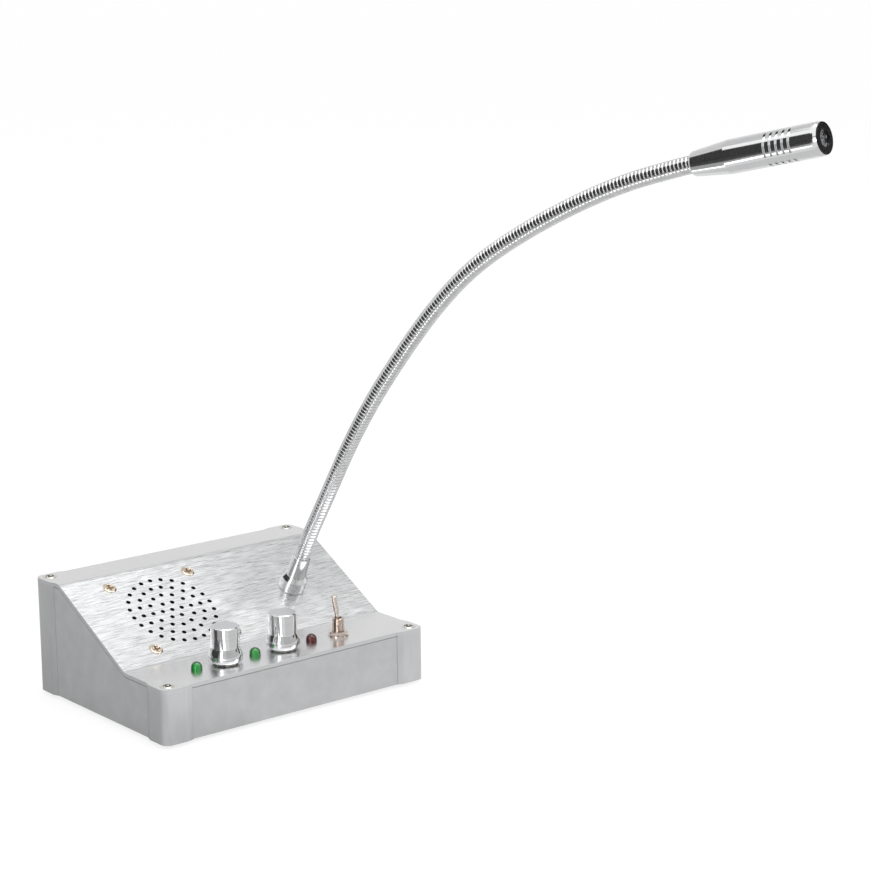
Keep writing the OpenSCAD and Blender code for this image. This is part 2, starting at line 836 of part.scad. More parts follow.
module grub_screw_right() {
    grub_screw(control_x);
}

washer_t = 0.5;
washer_d = 9.5;
pivot_drop = 2.5;
pivot_z = bush_h - pivot_drop;
lever_ball_d = 4;
lever_stem_d = 1.6;
lever_stem_l = 4.5;
switch_leg_l = 3.5;
switch_leg_w = 2;
switch_leg_pitch = 4.7;

module switch_case() {
    leg_end = -plate_t - switch_h - switch_leg_l;
    color("#20406e") on_front(right_x) union() {
        translate([-switch_w/2, -switch_d/2, -plate_t - switch_h])
            cube([switch_w, switch_d, switch_h - washer_t]);
        for (i = [-1:1])
            translate([i*switch_leg_pitch - switch_leg_w/2, -switch_leg_w/8, leg_end])
                cube([switch_leg_w, switch_leg_w/4, switch_leg_l + over]);
    }
}

// Bushing of the switch: a flange under the plate, a threaded barrel and a cone inside for the lever
module switch_bushing() {
    mouth = lever_neck_d/2 + (bush_h - pivot_z)*tan(lever_lean) + 2*slide_fit + slide_fit;
    color("#c8b48a") on_front(right_x) rotate_extrude($fn = 96) polygon([
        [lever_ball_d/2 + slide_fit, -plate_t - washer_t], [washer_d/2, -plate_t - washer_t],
        [washer_d/2, -plate_t], [bush_d/2, -plate_t],
        [bush_d/2, bush_h - slide_fit], [bush_d/2 - slide_fit, bush_h],
        [mouth, bush_h], [lever_ball_d/2 + slide_fit, pivot_z]
    ]);
}

module switch_nut() {
    color("#cdbb94") on_front(right_x) difference() {
        union() {
            cylinder(d = nut_af/cos(30) + washer_t, h = washer_t, $fn = round_fn);
            translate([0, 0, washer_t]) hexagon(nut_af, nut_t);
        }
        translate([0, 0, -over])
            cylinder(d = bush_d + 2*fit, h = washer_t + nut_t + 2*over, $fn = round_fn);
    }
}

// The bat lever on its ball, leaning to the left as it rests
module switch_lever() {
    reach = bush_h - pivot_z;
    shoulder_z = reach + lever_l/2;
    tip_r = lever_d/2;
    color("#d3c39c") on_front(right_x) translate([0, 0, pivot_z]) rotate([0, -lever_lean, 0]) union() {
        sphere(d = lever_ball_d, $fn = round_fn);
        translate([0, 0, -lever_stem_l]) cylinder(d = lever_stem_d, h = lever_stem_l, $fn = 24);
        cylinder(d = lever_neck_d, h = reach + lever_l/4, $fn = round_fn);
        translate([0, 0, reach + lever_l/4])
            cylinder(d1 = lever_neck_d, d2 = lever_d, h = shoulder_z - reach - lever_l/4, $fn = round_fn);
        translate([0, 0, shoulder_z])
            cylinder(r = tip_r, h = reach + lever_l - tip_r/2 - shoulder_z, $fn = round_fn);
        translate([0, 0, reach + lever_l - tip_r/2]) scale([1, 1, 1/2]) sphere(r = tip_r, $fn = round_fn);
    }
}

lamp_flange_t = 1;
lamp_flange_d = 7;
lamp_body_h = 5;
lamp_leg_w = 0.5;
lamp_leg_l = 8;
lamp_leg_pitch = 2.5;

// An indicator lamp: domed lens through the plate, flange under it and two legs
module lamp(x) {
    leg_end = -plate_t - lamp_body_h - lamp_leg_l;
    on_front(x - lamp_offset) union() {
        translate([0, 0, -plate_t]) cylinder(d = lamp_d, h = plate_t + lamp_h - lamp_d/2, $fn = round_fn);
        translate([0, 0, lamp_h - lamp_d/2]) sphere(d = lamp_d, $fn = round_fn);
        translate([0, 0, -plate_t - lamp_flange_t])
            cylinder(d = lamp_flange_d, h = lamp_flange_t, $fn = round_fn);
        translate([0, 0, -plate_t - lamp_body_h]) cylinder(d = lamp_d, h = lamp_body_h, $fn = round_fn);
        for (side = [-1, 1])
            translate([side*lamp_leg_pitch/2 - lamp_leg_w/2, -lamp_leg_w/2, leg_end])
                cube([lamp_leg_w, lamp_leg_w, lamp_leg_l + lamp_leg_w]);
    }
}

module lamp_left() {
    color("#0f9a3c") lamp(left_x);
}

module lamp_middle() {
    color("#0f9a3c") lamp(control_x);
}

module lamp_right() {
    color("#7d1010") lamp(right_x);
}

power_bore_d = 5.6;
power_pin_d = 2;
line_bore_d = 3.6;
socket_flange = 1.4;
socket_flange_t = 1.5;
socket_depth = 13;
socket_bore_depth = 10;
socket_nut_t = 2;
socket_nut_wall = 2;

// A round socket through the rear panel, with an outer flange and a blind bore
module socket(bush_d, bore_d, pin_d) {
    difference() {
        union() {
            cylinder(d = bush_d + 2*socket_flange, h = socket_flange_t, $fn = round_fn);
            translate([0, 0, -socket_depth]) cylinder(d = bush_d, h = socket_depth, $fn = round_fn);
        }
        difference() {
            translate([0, 0, socket_flange_t - socket_bore_depth])
                cylinder(d = bore_d, h = socket_bore_depth + over, $fn = round_fn);
            if (pin_d > 0)
                translate([0, 0, -socket_bore_depth])
                    cylinder(d = pin_d, h = socket_bore_depth, $fn = round_fn);
        }
    }
}

module power_socket() {
    color("#1c1c1e") on_rear(socket_x) socket(power_bush_d, power_bore_d, power_pin_d);
}

module line_socket() {
    color("#1c1c1e") on_rear(socket_x - socket_pitch) socket(line_bush_d, line_bore_d, 0);
}

module socket_nut(bush_d) {
    translate([0, 0, -panel_t - socket_nut_t]) difference() {
        hexagon(bush_d + 2*socket_nut_wall, socket_nut_t);
        translate([0, 0, -over]) cylinder(d = bush_d + 2*fit, h = socket_nut_t + 2*over, $fn = round_fn);
    }
}

module socket_nuts() {
    color("#b9b7b0") {
        on_rear(socket_x) socket_nut(power_bush_d);
        on_rear(socket_x - socket_pitch) socket_nut(line_bush_d);
    }
}

stem_d = 8;
stem_l = 8;
stem_bore_d = 5;
neck_nut_af = 13;
neck_nut_t = 4;
collar_edge = 0.5;

// The collar on the plate with its threaded stem below
module neck_collar() {
    color("#c7c9cc") on_slope(neck_x, neck_s) rotate_extrude($fn = 96) polygon([
        [stem_bore_d/2, -plate_t - stem_l], [stem_d/2, -plate_t - stem_l], [stem_d/2, 0],
        [collar_d/2 - collar_edge, 0], [collar_d/2, collar_edge], [collar_d/2, collar_h],
        [ferrule_d/2 + fit, collar_top], [stem_bore_d/2, collar_top]
    ]);
}

module neck_nut() {
    color("#b9b7b0") on_slope(neck_x, neck_s, -plate_t - neck_nut_t) difference() {
        hexagon(neck_nut_af, neck_nut_t);
        translate([0, 0, -over]) cylinder(d = stem_d + 2*fit, h = neck_nut_t + 2*over, $fn = round_fn);
    }
}

// The tapered ferrule that grips the end of the neck
module neck_ferrule() {
    edge = 0.25;
    color("#c7c9cc") on_slope(neck_x, neck_s, collar_top) rotate_extrude($fn = 96) polygon([
        [stem_bore_d/2, 0], [ferrule_d/2 - edge, 0], [ferrule_d/2, edge],
        [ferrule_top_d/2, ferrule_l - edge], [ferrule_top_d/2 - edge, ferrule_l],
        [neck_d/2 + fit, ferrule_l], [neck_d/2 + fit, ferrule_l - stub_seat],
        [stem_bore_d/2, ferrule_l - stub_seat]
    ]);
}

// Outline of the wound neck's outer side from one level to another, with a groove after each turn
function turns(low, high, count) =
    let (pitch = (high - low)/count, flank = pitch/5)
    [for (i = [0:count - 1], corner = [0, 1, 2])
        corner == 0 ? [ball_r - groove, low + i*pitch]
        : corner == 1 ? [ball_r, low + i*pitch + flank]
        : [ball_r, low + (i + 1)*pitch - flank]];

// One stretch of the wound neck: a dish at its foot turns on the ball at the end of the stretch before
module neck_stretch(l, low) {
    difference() {
        union() {
            rotate_extrude($fn = 96) polygon(concat(
                [[neck_bore/2, low]],
                [[ball_r, low]],
                turns(low + (l - low)/turn_count, l - (l - low)/turn_count, turn_count - 2),
                [[ball_r - groove, l - (l - low)/turn_count], [ball_r, l - 4*(l - low)/turn_count/5],
                    [ball_r, l], [neck_bore/2, l]]
            ));
            translate([0, 0, l]) intersection() {
                difference() {
                    sphere(r = ball_r, $fn = 96);
                    cylinder(d = neck_bore, h = 2*neck_d, center = true, $fn = round_fn);
                }
                cylinder(d = neck_d, h = neck_d, $fn = round_fn);
            }
        }
        sphere(r = dish_r, $fn = 96);
    }
}

// Bending stretch i stands on joint i - 1
module neck_part(i) {
    color("#bfc1c4") at_joint(i - 1, step_lean(i)) neck_stretch(neck_step, rim_z);
}

module neck_1() {
    neck_part(1);
}

module neck_2() {
    neck_part(2);
}

module neck_3() {
    neck_part(3);
}

module neck_4() {
    neck_part(4);
}

module neck_5() {
    neck_part(5);
}

module neck_6() {
    neck_part(6);
}

module neck_7() {
    neck_part(7);
}

module neck_8() {
    neck_part(8);
}

module neck_9() {
    neck_part(9);
}

module neck_10() {
    neck_part(10);
}

// The fixed stretch in the ferrule, ending in the first ball
module neck_stub() {
    plain = -stub_seat + fit;
    stub_turns = 5;
    color("#bfc1c4") in_neck_plane() union() {
        rotate_extrude($fn = 96) polygon(concat(
            [[neck_bore/2, plain], [ball_r, plain], [ball_r, 0]],
            turns(0, neck_stub, stub_turns),
            [[ball_r, neck_stub], [neck_bore/2, neck_stub]]
        ));
        translate([0, 0, neck_stub]) intersection() {
            difference() {
                sphere(r = ball_r, $fn = 96);
                cylinder(d = neck_bore, h = 2*neck_d, center = true, $fn = round_fn);
            }
            cylinder(d = neck_d, h = neck_d, $fn = round_fn);
        }
    }
}

// The short end of the neck that is fixed in the microphone's tail
module neck_tip() {
    color("#bfc1c4") at_joint(step_count, neck_end_lean) difference() {
        rotate_extrude($fn = 96) polygon([
            [neck_bore/2, rim_z], [ball_r, rim_z], [ball_r, tip_l], [neck_bore/2, tip_l]
        ]);
        sphere(r = dish_r, $fn = 96);
    }
}

tail_edge = 1.2;
tail_bore_d = 6;
tail_floor = tip_l - tip_out + fit;
spigot_l = 5;
shell_bore_d = mic_d - 2*mic_wall;

// The tapered tail: it takes the neck's end and plugs into the shell
module mic_tail() {
    color("#cfd0d2") on_mic(0) rotate_extrude($fn = 96) polygon([
        [ball_r + fit, 0], [tail_d/2 - tail_edge, 0], [tail_d/2 - tail_edge/3, tail_edge/3],
        [tail_d/2, tail_edge], [mic_d/2, tail_l],
        [shell_bore_d/2 - fit, tail_l], [shell_bore_d/2 - fit, tail_l + spigot_l],
        [tail_bore_d/2, tail_l + spigot_l], [tail_bore_d/2, tail_floor], [ball_r + fit, tail_floor]
    ]);
}

bevel_in = 2*mic_bevel/7;
front_r = mic_d/2 - bevel_in;
cap_l = 6;
cap_rim = 0.35;
cap_lip = 1.1;

// The slotted shell: three sets of slots, each round a third of the shell, and a liner tube behind them
module mic_shell() {
    set_count = 3;
    half_gap = (360/set_count - slot_arc)/2;
    first_turn = 181;
    lead = 3*mic_bevel/4;
    liner_r = shell_bore_d/2 - slide_fit;
    liner_l = mic_l - spigot_l - cap_l - 2*end_gap;
    color("#cfd0d2") on_mic(tail_l) difference() {
        rotate_extrude($fn = 96) polygon([
            [shell_bore_d/2, 0], [mic_d/2, 0], [mic_d/2, mic_l - mic_bevel - lead],
            [mic_d/2 - bevel_in/6, mic_l - mic_bevel], [front_r, mic_l], [shell_bore_d/2, mic_l]
        ]);
        for (i = [0:slot_count - 1], set = [0:set_count - 1])
            translate([0, 0, mic_l - slot_start - i*slot_pitch - slot_w])
                rotate([0, 0, first_turn + set*360/set_count + half_gap])
                    rotate_extrude(angle = slot_arc, $fn = 96)
                        translate([shell_bore_d/2 - over/2, 0]) square([mic_d/2, slot_w]);
    }
    color("#b9babc") on_mic(tail_l + spigot_l + end_gap) rotate_extrude($fn = 96) polygon([
        [liner_r - mic_wall/2, 0], [liner_r, 0], [liner_r, liner_l], [liner_r - mic_wall/2, liner_l]
    ]);
}

capsule_d = 9.4;
capsule_l = 4.6;
port_d = 0.9;
port_ring = 2.4;
port_count = 6;
port_deep = 0.8;
grid_t = 0.4;
grid_hole_d = 1.4;
grid_pitch = 2;

// The black cap: a plug in the shell's front, a flat rim and a mouth, bored behind it for the capsule
module mic_insert() {
    bore_r = capsule_d/2 + fit;
    plug_r = shell_bore_d/2 - slide_fit;
    face = cap_l + cap_rim;
    color("#101011") on_mic(tail_l + mic_l - cap_l) rotate_extrude($fn = 96) polygon([
        [bore_r, 0], [plug_r, 0], [plug_r, cap_l + fit], [front_r, cap_l + fit],
        [front_r, cap_l + cap_rim/3], [front_r - cap_rim/3, cap_l + 4*cap_rim/5], [front_r - cap_rim, face],
        [mouth_d/2, face], [mouth_d/2, face - cap_lip], [bore_r, face - cap_lip]
    ]);
}

// The capsule with its sound holes, and the drilled disc in front of it in the mouth
module mic_capsule() {
    grid_z = cap_l + cap_rim - cap_lip - fit - grid_t;
    capsule_z = grid_z - fit - capsule_l;
    color("#b8babd") on_mic(tail_l + mic_l - cap_l) union() {
        translate([0, 0, capsule_z]) difference() {
            cylinder(d = capsule_d, h = capsule_l, $fn = round_fn);
            translate([0, 0, capsule_l - port_deep]) cylinder(d = port_d, h = port_deep + over, $fn = 24);
            for (i = [0:port_count - 1])
                rotate([0, 0, i*360/port_count]) translate([port_ring, 0, capsule_l - port_deep])
                    cylinder(d = port_d, h = port_deep + over, $fn = 24);
        }
        translate([0, 0, grid_z]) difference() {
            cylinder(d = capsule_d, h = grid_t, $fn = round_fn);
            for (i = [-2:2], j = [-2:2])
                if (i*i + i*j + j*j < 4)
                    translate([grid_pitch*(i + j/2), grid_pitch*j*sin(60), -over])
                        cylinder(d = grid_hole_d, h = grid_t + 2*over, $fn = 24);
        }
    }
}

base_plate();
rubber_feet();
base_screws();
post_front_left();
post_front_right();
post_rear_left();
post_rear_right();
panel_front();
panel_rear();
panel_left();
panel_right();
top_plate();
top_screws();
grille_cloth();
speaker_basket();
speaker_magnet();
speaker_cone();
speaker_screws();
speaker_nuts();
circuit_board();
board_spacers();
board_parts();
volume_pot_left();
volume_pot_right();
pot_nuts();
pot_shaft_left();
pot_shaft_right();
knob_left();
knob_right();
grub_screw_left();
grub_screw_right();
switch_case();
switch_bushing();
switch_nut();
switch_lever();
lamp_left();
lamp_middle();
lamp_right();
power_socket();
line_socket();
socket_nuts();
neck_collar();
neck_nut();
neck_ferrule();
neck_stub();
neck_1();
neck_2();
neck_3();
neck_4();
neck_5();
neck_6();
neck_7();
neck_8();
neck_9();
neck_10();
neck_tip();
mic_tail();
mic_shell();
mic_insert();
mic_capsule();
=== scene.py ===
import json
import math
import bmesh
import bpy
from mathutils import Matrix, Vector


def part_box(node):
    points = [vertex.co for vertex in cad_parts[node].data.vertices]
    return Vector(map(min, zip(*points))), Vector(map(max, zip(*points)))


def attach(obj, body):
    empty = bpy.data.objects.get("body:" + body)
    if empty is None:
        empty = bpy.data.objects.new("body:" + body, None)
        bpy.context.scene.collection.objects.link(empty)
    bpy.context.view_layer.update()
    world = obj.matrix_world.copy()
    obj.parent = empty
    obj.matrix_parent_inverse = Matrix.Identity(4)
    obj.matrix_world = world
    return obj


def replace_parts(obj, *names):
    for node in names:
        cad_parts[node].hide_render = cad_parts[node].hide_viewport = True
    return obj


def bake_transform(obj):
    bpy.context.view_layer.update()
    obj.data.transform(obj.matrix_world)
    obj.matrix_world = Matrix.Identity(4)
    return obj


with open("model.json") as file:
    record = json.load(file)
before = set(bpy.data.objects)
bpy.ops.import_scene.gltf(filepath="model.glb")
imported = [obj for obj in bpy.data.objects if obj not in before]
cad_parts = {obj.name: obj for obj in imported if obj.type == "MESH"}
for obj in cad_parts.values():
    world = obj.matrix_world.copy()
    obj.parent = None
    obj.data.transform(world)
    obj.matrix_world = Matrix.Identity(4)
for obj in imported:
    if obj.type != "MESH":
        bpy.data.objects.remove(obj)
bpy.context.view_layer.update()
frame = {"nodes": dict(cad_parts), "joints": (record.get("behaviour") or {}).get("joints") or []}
nodes = frame["nodes"]
joints = {j["name"]: j for j in frame["joints"]}
scene = bpy.context.scene
MM = 0.001


# Finishes

def linear(code):
    """Linear colour of an sRGB hex value."""
    parts = [int(code[i:i + 2], 16)/255 for i in (1, 3, 5)]
    return [p/12.92 if p <= 0.04045 else ((p + 0.055)/1.055)**2.4 for p in parts] + [1.0]


def add(tree, kind, settings=None, links=None):
    """Adds a node.

    settings name its inputs or properties, or a ramp's stops; links name inputs and sources.
    """
    made = tree.nodes.new(kind)
    for key, value in (settings or {}).items():
        if key == "stops":
            marks = made.color_ramp.elements
            while len(marks) < len(value):
                marks.new(1.0)
            for mark, (place, code) in zip(marks, value):
                mark.position = place
                mark.color = linear(code)
        elif isinstance(key, int) or key in made.inputs:
            made.inputs[key].default_value = value
        else:
            setattr(made, key, value)
    for key, source in (links or {}).items():
        tree.links.new(source, made.inputs[key])
    return made


def surface(name, code, sockets):
    """A material with one surface shader of that colour, and the shader's own settings."""
    made = bpy.data.materials.new(name)
    made.use_nodes = True
    made.diffuse_color = linear(code)
    tree = made.node_tree
    tree.nodes.clear()
    shader = add(tree, "ShaderNodeBsdfPrincipled", {"Base Color": linear(code), **sockets})
    add(tree, "ShaderNodeOutputMaterial", links={"Surface": shader.outputs["BSDF"]})
    return made, tree, shader


def worked(name, stops, rough, grain_mm, detail=2.0, bump_mm=0.0, skin_mm=None, edge_mm=0.0, level=None,
           **sockets):
    """A metal, plastic or rubber whose colour follows a grain of that size, in millimetres along X, Y and Z.

    stops are the grain's colours, rough the ends of its roughness, skin_mm the size of the bumps if they
    differ, edge_mm the radius that catches light on an edge, level the colour and roughness of faces that
    look straight up.
    """
    sockets = {key.replace("_", " "): value for key, value in sockets.items()}
    made, tree, shader = surface(name, stops[len(stops)//2][1], sockets)
    place = add(tree, "ShaderNodeTexCoord")
    patterns = []
    for size in (grain_mm, skin_mm or grain_mm):
        scaled = add(tree, "ShaderNodeMapping", {"Scale": [1/(s*MM) for s in size]},
                     {"Vector": place.outputs["Object"]})
        patterns.append(add(tree, "ShaderNodeTexNoise", {"Scale": 1.0, "Detail": detail, "Roughness": 0.6},
                            {"Vector": scaled.outputs["Vector"]}).outputs["Fac"])
    ramp = add(tree, "ShaderNodeValToRGB", {"stops": stops}, {"Fac": patterns[0]})
    colour = ramp.outputs["Color"]
    dull = add(tree, "ShaderNodeMapRange", {"From Min": 0.3, "From Max": 0.7, "To Min": rough[0],
                                            "To Max": rough[1]}, {"Value": patterns[1]}).outputs["Result"]
    if level:
        geometry = add(tree, "ShaderNodeNewGeometry")
        facing = add(tree, "ShaderNodeSeparateXYZ", links={0: geometry.outputs["Normal"]})
        up = add(tree, "ShaderNodeMapRange", {"From Min": 0.95, "From Max": 0.99},
                 {"Value": facing.outputs["Z"]})
        colour = add(tree, "ShaderNodeMixRGB", {"Color2": linear(level[0])},
                     {"Fac": up.outputs["Result"], "Color1": colour}).outputs["Color"]
        dull = add(tree, "ShaderNodeMapRange", {"To Max": level[1]},
                   {"Value": up.outputs["Result"], "To Min": dull}).outputs["Result"]
    tree.links.new(colour, shader.inputs["Base Color"])
    tree.links.new(dull, shader.inputs["Roughness"])
    normal = None
    if edge_mm:
        normal = add(tree, "ShaderNodeBevel", {"Radius": edge_mm*MM, "samples": 4}).outputs["Normal"]
    if bump_mm:
        bump = add(tree, "ShaderNodeBump", {"Strength": 0.5, "Distance": bump_mm*MM}, {"Height": patterns[1]})
        if normal:
            tree.links.new(normal, bump.inputs["Normal"])
        normal = bump.outputs["Normal"]
    if normal:
        tree.links.new(normal, shader.inputs["Normal"])
    return made


# Aluminium sheet brushed along its width: long light and dark streaks under a silky shine.
# Real brush lines are 0.05 mm wide; these are 0.3 mm so that they show.
# Its faces that look straight up, the front land, take a lighter even grey without streaks and a lower
# roughness; the lighter grey is painted sheen, the mirror-like shine of the land at a low angle.
brushed_sheet = worked(
    "brushed_aluminium", [(0.30, "#a0a1a3"), (0.44, "#d8d9da"), (0.58, "#eaebec"), (0.70, "#fcfcfc")],
    (0.22, 0.38), (9.0, 0.3, 0.3), detail=3.0, bump_mm=0.02, edge_mm=0.08, level=("#f3f3f4", 0.26),
    Metallic=1.0, Anisotropic=0.4)
# Satin anodised extrusion and sheet: even soft grey with a hardly visible cloud and a fine etched skin.
post_anodised = worked(
    "anodised_post", [(0.3, "#cbcccd"), (0.7, "#d4d5d6")], (0.34, 0.44), (7.0, 7.0, 30.0), bump_mm=0.004,
    skin_mm=(0.2, 0.2, 0.2), edge_mm=0.3, Metallic=0.3)
panel_anodised = worked(
    "anodised_panel", [(0.3, "#c4c5c6"), (0.7, "#cdcecf")], (0.45, 0.55), (9.0, 9.0, 9.0), bump_mm=0.004,
    skin_mm=(0.2, 0.2, 0.2), Metallic=0.2)
# Aluminium turned on a lathe and polished: mirror sides with fine level tool lines, drawn 0.25 mm apart.
turned_aluminium = worked(
    "turned_aluminium", [(0.3, "#e4e5e6"), (0.7, "#f6f6f7")], (0.05, 0.12), (60.0, 60.0, 0.25), bump_mm=0.005,
    edge_mm=0.2, level=("#dedfe1", 0.34), Metallic=1.0)
# Nickel-plated steel screws and nuts: bright, warm grey, a little cloudy.
nickel_steel = worked(
    "nickel_plated_steel", [(0.3, "#dfdcd3"), (0.7, "#f3f1eb")], (0.08, 0.2), (0.8, 0.8, 0.8), Metallic=1.0)
# Yellow zinc on the speaker's screws: a pale brass tone with patches.
zinc_yellow = worked(
    "yellow_zinc", [(0.3, "#bfae98"), (0.5, "#d8cbba"), (0.7, "#f1eae1")], (0.18, 0.34), (0.9, 0.9, 0.9),
    Metallic=1.0)
# Nickel over the switch's brass: a rosy tinge where the plating is thin.
thin_nickel = worked(
    "nickel_plated_brass", [(0.3, "#d3bfb1"), (0.5, "#e6d9cf"), (0.7, "#f7f1ec")], (0.06, 0.16),
    (0.9, 0.9, 0.9), Metallic=1.0)
# Chrome on the wound steel strip: hard and bright, a little clouded.
wound_chrome = worked(
    "wound_chrome", [(0.3, "#d6d7d8"), (0.7, "#ebebec")], (0.10, 0.2), (3.0, 3.0, 3.0), Metallic=1.0)
# Mirror chrome on the turned collar and ferrule.
mirror_chrome = worked(
    "mirror_chrome", [(0.3, "#e6e7e8"), (0.7, "#f4f4f5")], (0.04, 0.09), (5.0, 5.0, 5.0), Metallic=1.0)
# Satin chrome on the microphone's brass: soft mirror with faint turning lines.
satin_chrome = worked(
    "satin_chrome", [(0.3, "#e9eaeb"), (0.7, "#f5f5f6")], (0.06, 0.14), (6.0, 0.3, 6.0), bump_mm=0.002,
    Metallic=1.0)
# Zinc-plated pressed steel of the volume controls.
zinc_steel = worked(
    "zinc_plated_steel", [(0.3, "#8b8e92"), (0.7, "#abaeb1")], (0.28, 0.42), (2.0, 2.0, 2.0), Metallic=1.0)
# Bare drawn aluminium of the microphone capsule.
drawn_can = worked(
    "drawn_aluminium", [(0.3, "#d2d4d6"), (0.7, "#e6e7e9")], (0.15, 0.25), (0.6, 0.6, 0.6), Metallic=1.0)
# Powder-coated steel base: matt grey with a fine orange-peel skin.
coated_steel = worked(
    "powder_coated_steel", [(0.3, "#7d7f82"), (0.7, "#888a8d")], (0.45, 0.58), (6.0, 6.0, 6.0), bump_mm=0.03,
    skin_mm=(0.6, 0.6, 0.6))
# Moulded rubber feet: dull black with a dusty grain.
moulded_rubber = worked(
    "moulded_rubber", [(0.3, "#151516"), (0.7, "#222223")], (0.75, 0.95), (2.0, 2.0, 2.0), bump_mm=0.03,
    skin_mm=(0.3, 0.3, 0.3))
# Stoved black lacquer on the speaker's steel basket.
basket_lacquer = worked(
    "stoved_lacquer", [(0.3, "#292a2c"), (0.7, "#35363a")], (0.4, 0.5), (4.0, 4.0, 4.0), bump_mm=0.02,
    skin_mm=(0.5, 0.5, 0.5))
# Sintered ferrite of the magnet: charcoal grey and gritty.
ferrite = worked(
    "sintered_ferrite", [(0.3, "#303135"), (0.7, "#46474d")], (0.6, 0.8), (0.5, 0.5, 0.5), bump_mm=0.03)
# Pressed paper cone: black and fibrous.
pressed_paper = worked(
    "pressed_paper", [(0.3, "#121213"), (0.7, "#202022")], (0.85, 1.0), (1.2, 0.3, 1.2), bump_mm=0.04)
# Moulded nylon of the board's spacers: milky and waxy.
milky_nylon = worked(
    "milky_nylon", [(0.3, "#dcd9d0"), (0.7, "#ece9e1")], (0.4, 0.5), (4.0, 4.0, 4.0), Subsurface_Weight=0.1)
# Black epoxy and plastic of the parts on the board.
black_epoxy = worked(
    "black_epoxy", [(0.3, "#17181a"), (0.7, "#26272a")], (0.4, 0.6), (1.0, 1.0, 1.0), bump_mm=0.01)
# Blackened steel of the set screws.
black_oxide = worked(
    "black_oxide", [(0.3, "#2a2b2e"), (0.7, "#3f4044")], (0.25, 0.4), (0.5, 0.5, 0.5), Metallic=1.0)
# Blue phenolic case of the switch: slightly mottled.
blue_phenolic = worked(
    "blue_phenolic", [(0.3, "#1f3a57"), (0.7, "#2c4c6e")], (0.38, 0.5), (1.5, 1.5, 1.5), bump_mm=0.01)
# Black ABS of the sockets: spark-eroded mould grain.
black_abs = worked(
    "black_abs", [(0.3, "#161618"), (0.7, "#212124")], (0.42, 0.58), (2.0, 2.0, 2.0), bump_mm=0.02,
    skin_mm=(0.25, 0.25, 0.25))
# Polished black acetal of the microphone's front ring and slot lining.
black_acetal = worked(
    "black_acetal", [(0.3, "#0a0a0b"), (0.7, "#141415")], (0.22, 0.34), (3.0, 3.0, 3.0),
    Specular_IOR_Level=0.3)


# The axis of the neck's first hinge lies in the slope's plane, so it gives the slope's angle.
neck_side = Vector(joints["neck_lean_1"]["axis"]).normalized()
slope_angle = math.atan2(neck_side.z, neck_side.y)
slope_up = Vector((0.0, -math.sin(slope_angle), math.cos(slope_angle)))
RIM = 2.7*MM


def pale_rim(made, half_x, half_y):
    # The plate's outer edge, within RIM of its sides: a dull pale line. The walls of its holes are painted
    # near black: painted shade inside the holes.
    tree = made.node_tree
    output = [n for n in tree.nodes if n.type == "OUTPUT_MATERIAL"][0]
    sheet = output.inputs["Surface"].links[0].from_socket
    sawn = add(tree, "ShaderNodeBsdfPrincipled", {"Base Color": linear("#d3d4d5"), "Roughness": 0.5,
                                                  "Metallic": 0.3})
    # Painted shade: the aluminium walls of the holes are coloured near black.
    hole_shade = add(tree, "ShaderNodeBsdfPrincipled", {"Base Color": linear("#1a1a1b"), "Roughness": 0.7})
    geometry = add(tree, "ShaderNodeNewGeometry")
    place = add(tree, "ShaderNodeVectorMath", {"operation": "ABSOLUTE"}, {0: geometry.outputs["Position"]})
    place = add(tree, "ShaderNodeSeparateXYZ", links={0: place.outputs["Vector"]})
    facing = add(tree, "ShaderNodeVectorMath", {"operation": "DOT_PRODUCT", 1: slope_up},
                 {0: geometry.outputs["True Normal"]})
    facing = add(tree, "ShaderNodeMath", {"operation": "ABSOLUTE"}, {0: facing.outputs["Value"]})
    near = [add(tree, "ShaderNodeMath", {"operation": "GREATER_THAN", 1: limit - RIM},
                {0: place.outputs[axis]}).outputs["Value"] for axis, limit in (("X", half_x), ("Y", half_y))]
    near = add(tree, "ShaderNodeMath", {"operation": "MAXIMUM"}, {0: near[0], 1: near[1]})
    side = add(tree, "ShaderNodeMath", {"operation": "LESS_THAN", 1: 0.6}, {0: facing.outputs["Value"]})
    walls = add(tree, "ShaderNodeMixShader", links={"Fac": near.outputs["Value"], 1: hole_shade.outputs["BSDF"],
                                                    2: sawn.outputs["BSDF"]})
    mixed = add(tree, "ShaderNodeMixShader", links={"Fac": side.outputs["Value"], 1: sheet,
                                                    2: walls.outputs["Shader"]})
    tree.links.new(mixed.outputs["Shader"], output.inputs["Surface"])


plate_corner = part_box("top_plate")[1]
pale_rim(brushed_sheet, plate_corner.x, plate_corner.y)


def woven_cloth():
    # Black speaker cloth: a plain weave whose threads are drawn 0.5 mm apart. A wave texture repeats every
    # pi/10 at a scale of 1.
    thread = 0.5*MM
    made, tree, shader = surface("woven_cloth", "#0b0b0c", {"Roughness": 0.95, "Sheen Weight": 0.2})
    place = add(tree, "ShaderNodeTexCoord")
    waves = [add(tree, "ShaderNodeTexWave", {"bands_direction": axis, "Scale": math.pi/(10*thread)},
                 {"Vector": place.outputs["Object"]}).outputs["Fac"] for axis in ("X", "Y")]
    weave = add(tree, "ShaderNodeMath", {"operation": "MULTIPLY"}, {0: waves[0], 1: waves[1]})
    weave = weave.outputs["Value"]
    ramp = add(tree, "ShaderNodeValToRGB", {"stops": [(0.1, "#050506"), (0.8, "#151517")]}, {"Fac": weave})
    tree.links.new(ramp.outputs["Color"], shader.inputs["Base Color"])
    bump = add(tree, "ShaderNodeBump", {"Strength": 0.6, "Distance": 0.15*MM}, {"Height": weave})
    tree.links.new(bump.outputs["Normal"], shader.inputs["Normal"])
    return made


